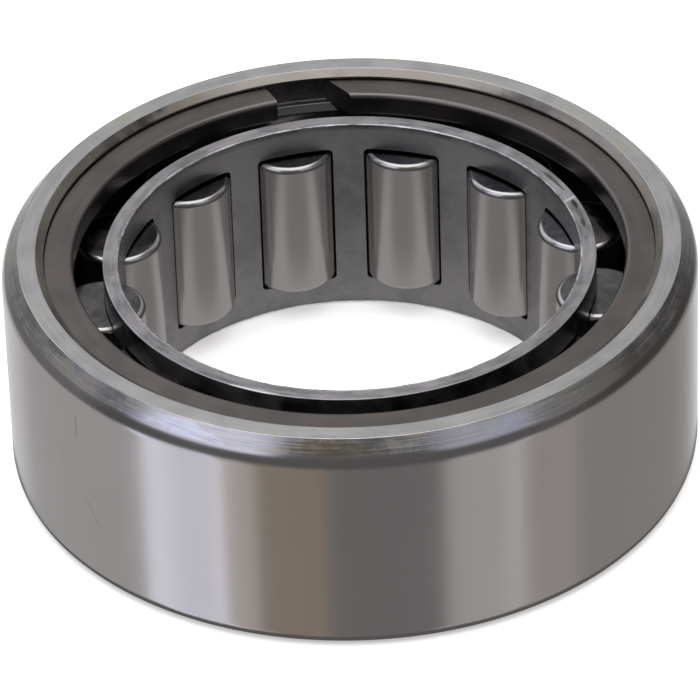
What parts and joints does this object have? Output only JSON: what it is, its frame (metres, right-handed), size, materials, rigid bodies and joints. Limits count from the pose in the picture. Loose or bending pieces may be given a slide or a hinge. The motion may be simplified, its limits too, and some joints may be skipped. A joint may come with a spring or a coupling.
{
  "type": "cylindrical roller bearing",
  "caption": "Cylindrical roller bearing with no inner ring: a thick outer ring, split retaining rings and a tubular window cage that holds the rollers the shaft runs on.",
  "frame": {"origin": "centre of the lower face of the outer ring", "axes": "+Z along the bearing axis, from the lower face towards the face with the long lead-in chamfer; +Y towards the gap of the upper retaining ring"},
  "size_m": [0.0643, 0.0642, 0.0222],
  "materials": {
    "ground_steel": "hardened bearing steel, ground and polished outside, coarser grinding on the faces and chamfers",
    "spring_steel": "dull rolled spring steel, brown-grey",
    "cage_steel": "satin blue-grey pressed steel tube with sheared edges",
    "roller_steel": "hardened bearing steel, ground and polished"
  },
  "bodies": {
    "outer_ring": {"outer_ring": "ground_steel", "upper_retaining_ring": "spring_steel", "lower_retaining_ring": "spring_steel"},
    "cage": {"cage": "cage_steel"},
    "roller_01": {"roller_01": "roller_steel"},
    "roller_02": {"roller_02": "roller_steel"},
    "roller_03": {"roller_03": "roller_steel"},
    "roller_04": {"roller_04": "roller_steel"},
    "roller_05": {"roller_05": "roller_steel"},
    "roller_06": {"roller_06": "roller_steel"},
    "roller_07": {"roller_07": "roller_steel"},
    "roller_08": {"roller_08": "roller_steel"},
    "roller_09": {"roller_09": "roller_steel"},
    "roller_10": {"roller_10": "roller_steel"},
    "roller_11": {"roller_11": "roller_steel"},
    "roller_12": {"roller_12": "roller_steel"},
    "roller_13": {"roller_13": "roller_steel"}
  },
  "joints": [
    {"name": "cage_spin", "type": "hinge", "parent": "outer_ring", "child": "cage", "pos_m": [0, 0, 0], "axis": [0, 0, 1], "continuous": true},
    {"name": "roller_01_spin", "type": "hinge", "parent": "cage", "child": "roller_01", "pos_m": [0.02173, 0.00799, 0.0105], "axis": [0, 0, 1], "continuous": true},
    {"name": "roller_02_spin", "type": "hinge", "parent": "cage", "child": "roller_02", "pos_m": [0.01552, 0.01717, 0.0105], "axis": [0, 0, 1], "continuous": true},
    {"name": "roller_03_spin", "type": "hinge", "parent": "cage", "child": "roller_03", "pos_m": [0.00576, 0.02242, 0.0105], "axis": [0, 0, 1], "continuous": true},
    {"name": "roller_04_spin", "type": "hinge", "parent": "cage", "child": "roller_04", "pos_m": [-0.00532, 0.02253, 0.0105], "axis": [0, 0, 1], "continuous": true},
    {"name": "roller_05_spin", "type": "hinge", "parent": "cage", "child": "roller_05", "pos_m": [-0.01518, 0.01748, 0.0105], "axis": [0, 0, 1], "continuous": true},
    {"name": "roller_06_spin", "type": "hinge", "parent": "cage", "child": "roller_06", "pos_m": [-0.02156, 0.00842, 0.0105], "axis": [0, 0, 1], "continuous": true},
    {"name": "roller_07_spin", "type": "hinge", "parent": "cage", "child": "roller_07", "pos_m": [-0.02301, -0.00256, 0.0105], "axis": [0, 0, 1], "continuous": true},
    {"name": "roller_08_spin", "type": "hinge", "parent": "cage", "child": "roller_08", "pos_m": [-0.01918, -0.01296, 0.0105], "axis": [0, 0, 1], "continuous": true},
    {"name": "roller_09_spin", "type": "hinge", "parent": "cage", "child": "roller_09", "pos_m": [-0.01096, -0.02039, 0.0105], "axis": [0, 0, 1], "continuous": true},
    {"name": "roller_10_spin", "type": "hinge", "parent": "cage", "child": "roller_10", "pos_m": [-0.00023, -0.02315, 0.0105], "axis": [0, 0, 1], "continuous": true},
    {"name": "roller_11_spin", "type": "hinge", "parent": "cage", "child": "roller_11", "pos_m": [0.01055, -0.0206, 0.0105], "axis": [0, 0, 1], "continuous": true},
    {"name": "roller_12_spin", "type": "hinge", "parent": "cage", "child": "roller_12", "pos_m": [0.01892, -0.01334, 0.0105], "axis": [0, 0, 1], "continuous": true},
    {"name": "roller_13_spin", "type": "hinge", "parent": "cage", "child": "roller_13", "pos_m": [0.02295, -0.00302, 0.0105], "axis": [0, 0, 1], "continuous": true}
  ],
  "couplings": [
    {"joint": "roller_01_spin", "follows": "cage_spin", "ratio": -6.6585},
    {"joint": "roller_02_spin", "follows": "cage_spin", "ratio": -6.6585},
    {"joint": "roller_03_spin", "follows": "cage_spin", "ratio": -6.6585},
    {"joint": "roller_04_spin", "follows": "cage_spin", "ratio": -6.6585},
    {"joint": "roller_05_spin", "follows": "cage_spin", "ratio": -6.6585},
    {"joint": "roller_06_spin", "follows": "cage_spin", "ratio": -6.6585},
    {"joint": "roller_07_spin", "follows": "cage_spin", "ratio": -6.6585},
    {"joint": "roller_08_spin", "follows": "cage_spin", "ratio": -6.6585},
    {"joint": "roller_09_spin", "follows": "cage_spin", "ratio": -6.6585},
    {"joint": "roller_10_spin", "follows": "cage_spin", "ratio": -6.6585},
    {"joint": "roller_11_spin", "follows": "cage_spin", "ratio": -6.6585},
    {"joint": "roller_12_spin", "follows": "cage_spin", "ratio": -6.6585},
    {"joint": "roller_13_spin", "follows": "cage_spin", "ratio": -6.6585}
  ]
}
